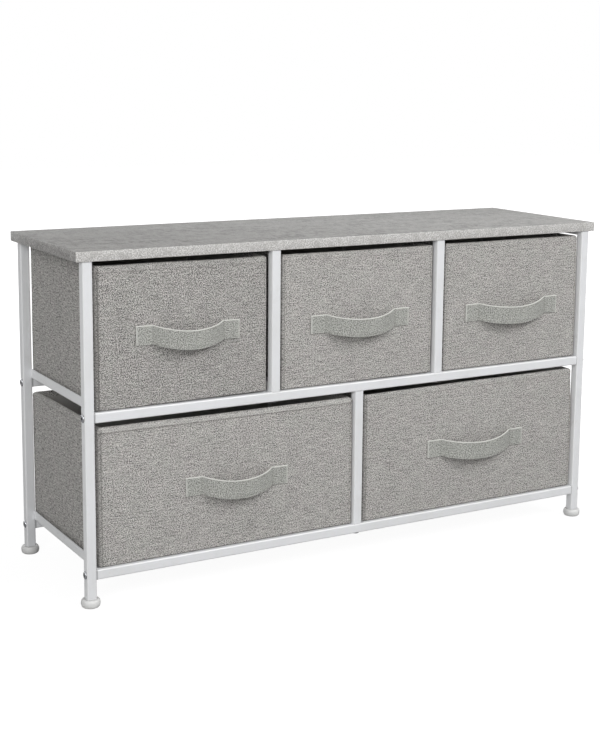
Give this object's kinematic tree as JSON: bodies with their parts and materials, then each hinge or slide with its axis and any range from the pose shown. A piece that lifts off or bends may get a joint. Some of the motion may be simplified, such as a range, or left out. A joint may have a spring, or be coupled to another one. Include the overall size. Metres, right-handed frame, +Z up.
{
  "type": "fabric drawer dresser",
  "caption": "Low wide dresser: white steel-tube frame, stone-look board on top, two rows of fabric drawers with bowed strap handles that slide out.",
  "frame": {"origin": "on the floor, at the middle of the overall box, which the strap handles widen at the front and the feet at the rear", "axes": "+X to the right along the front, +Y from the front to the rear, +Z up; the drawers open towards -Y"},
  "size_m": [1.003, 0.3244, 0.558],
  "materials": {
    "board_laminate": "matt grey stone-look laminate",
    "frame_white": "white powder coat",
    "foot_plastic": "white moulded plastic",
    "plug_plastic": "white moulded plastic",
    "fastener_steel": "bright zinc",
    "drawer_cloth": "heathered grey linen-look cloth",
    "strap_cloth": "lighter heathered grey cloth",
    "stiffening_board": "plain fibreboard"
  },
  "bodies": {
    "frame": {"divider_bolts": "fastener_steel", "divider_lower_middle_front": "frame_white", "divider_lower_middle_rear": "frame_white", "divider_plugs": "plug_plastic", "divider_upper_left_front": "frame_white", "divider_upper_left_rear": "frame_white", "divider_upper_right_front": "frame_white", "divider_upper_right_rear": "frame_white", "feet": "foot_plastic", "frame_bolts": "fastener_steel", "locating_plugs": "plug_plastic", "post_front_left": "frame_white", "post_front_right": "frame_white", "post_rear_left": "frame_white", "post_rear_right": "frame_white", "rail_end_plugs": "plug_plastic", "rail_lower_front": "frame_white", "rail_lower_rear": "frame_white", "rail_upper_front": "frame_white", "rail_upper_rear": "frame_white", "runner_lower_left_a": "frame_white", "runner_lower_left_b": "frame_white", "runner_lower_right_a": "frame_white", "runner_lower_right_b": "frame_white", "runner_upper_left_a": "frame_white", "runner_upper_left_b": "frame_white", "runner_upper_middle_a": "frame_white", "runner_upper_middle_b": "frame_white", "runner_upper_right_a": "frame_white", "runner_upper_right_b": "frame_white", "tabletop": "board_laminate", "top_angle_left": "frame_white", "top_angle_right": "frame_white", "top_screws": "fastener_steel", "top_strap_left": "frame_white", "top_strap_right": "frame_white"},
    "drawer_upper_left": {"cover_upper_left": "drawer_cloth", "boards_upper_left": "stiffening_board", "bottom_upper_left": "stiffening_board", "handle_upper_left": "strap_cloth"},
    "drawer_upper_middle": {"cover_upper_middle": "drawer_cloth", "boards_upper_middle": "stiffening_board", "bottom_upper_middle": "stiffening_board", "handle_upper_middle": "strap_cloth"},
    "drawer_upper_right": {"cover_upper_right": "drawer_cloth", "boards_upper_right": "stiffening_board", "bottom_upper_right": "stiffening_board", "handle_upper_right": "strap_cloth"},
    "drawer_lower_left": {"cover_lower_left": "drawer_cloth", "boards_lower_left": "stiffening_board", "bottom_lower_left": "stiffening_board", "handle_lower_left": "strap_cloth"},
    "drawer_lower_right": {"cover_lower_right": "drawer_cloth", "boards_lower_right": "stiffening_board", "bottom_lower_right": "stiffening_board", "handle_lower_right": "strap_cloth"}
  },
  "joints": [
    {"name": "upper_left_slide", "type": "slide", "parent": "frame", "child": "drawer_upper_left", "axis": [0, -1, 0], "range_m": [0, 0.24]},
    {"name": "upper_middle_slide", "type": "slide", "parent": "frame", "child": "drawer_upper_middle", "axis": [0, -1, 0], "range_m": [0, 0.24]},
    {"name": "upper_right_slide", "type": "slide", "parent": "frame", "child": "drawer_upper_right", "axis": [0, -1, 0], "range_m": [0, 0.24]},
    {"name": "lower_left_slide", "type": "slide", "parent": "frame", "child": "drawer_lower_left", "axis": [0, -1, 0], "range_m": [0, 0.24]},
    {"name": "lower_right_slide", "type": "slide", "parent": "frame", "child": "drawer_lower_right", "axis": [0, -1, 0], "range_m": [0, 0.24]}
  ]
}
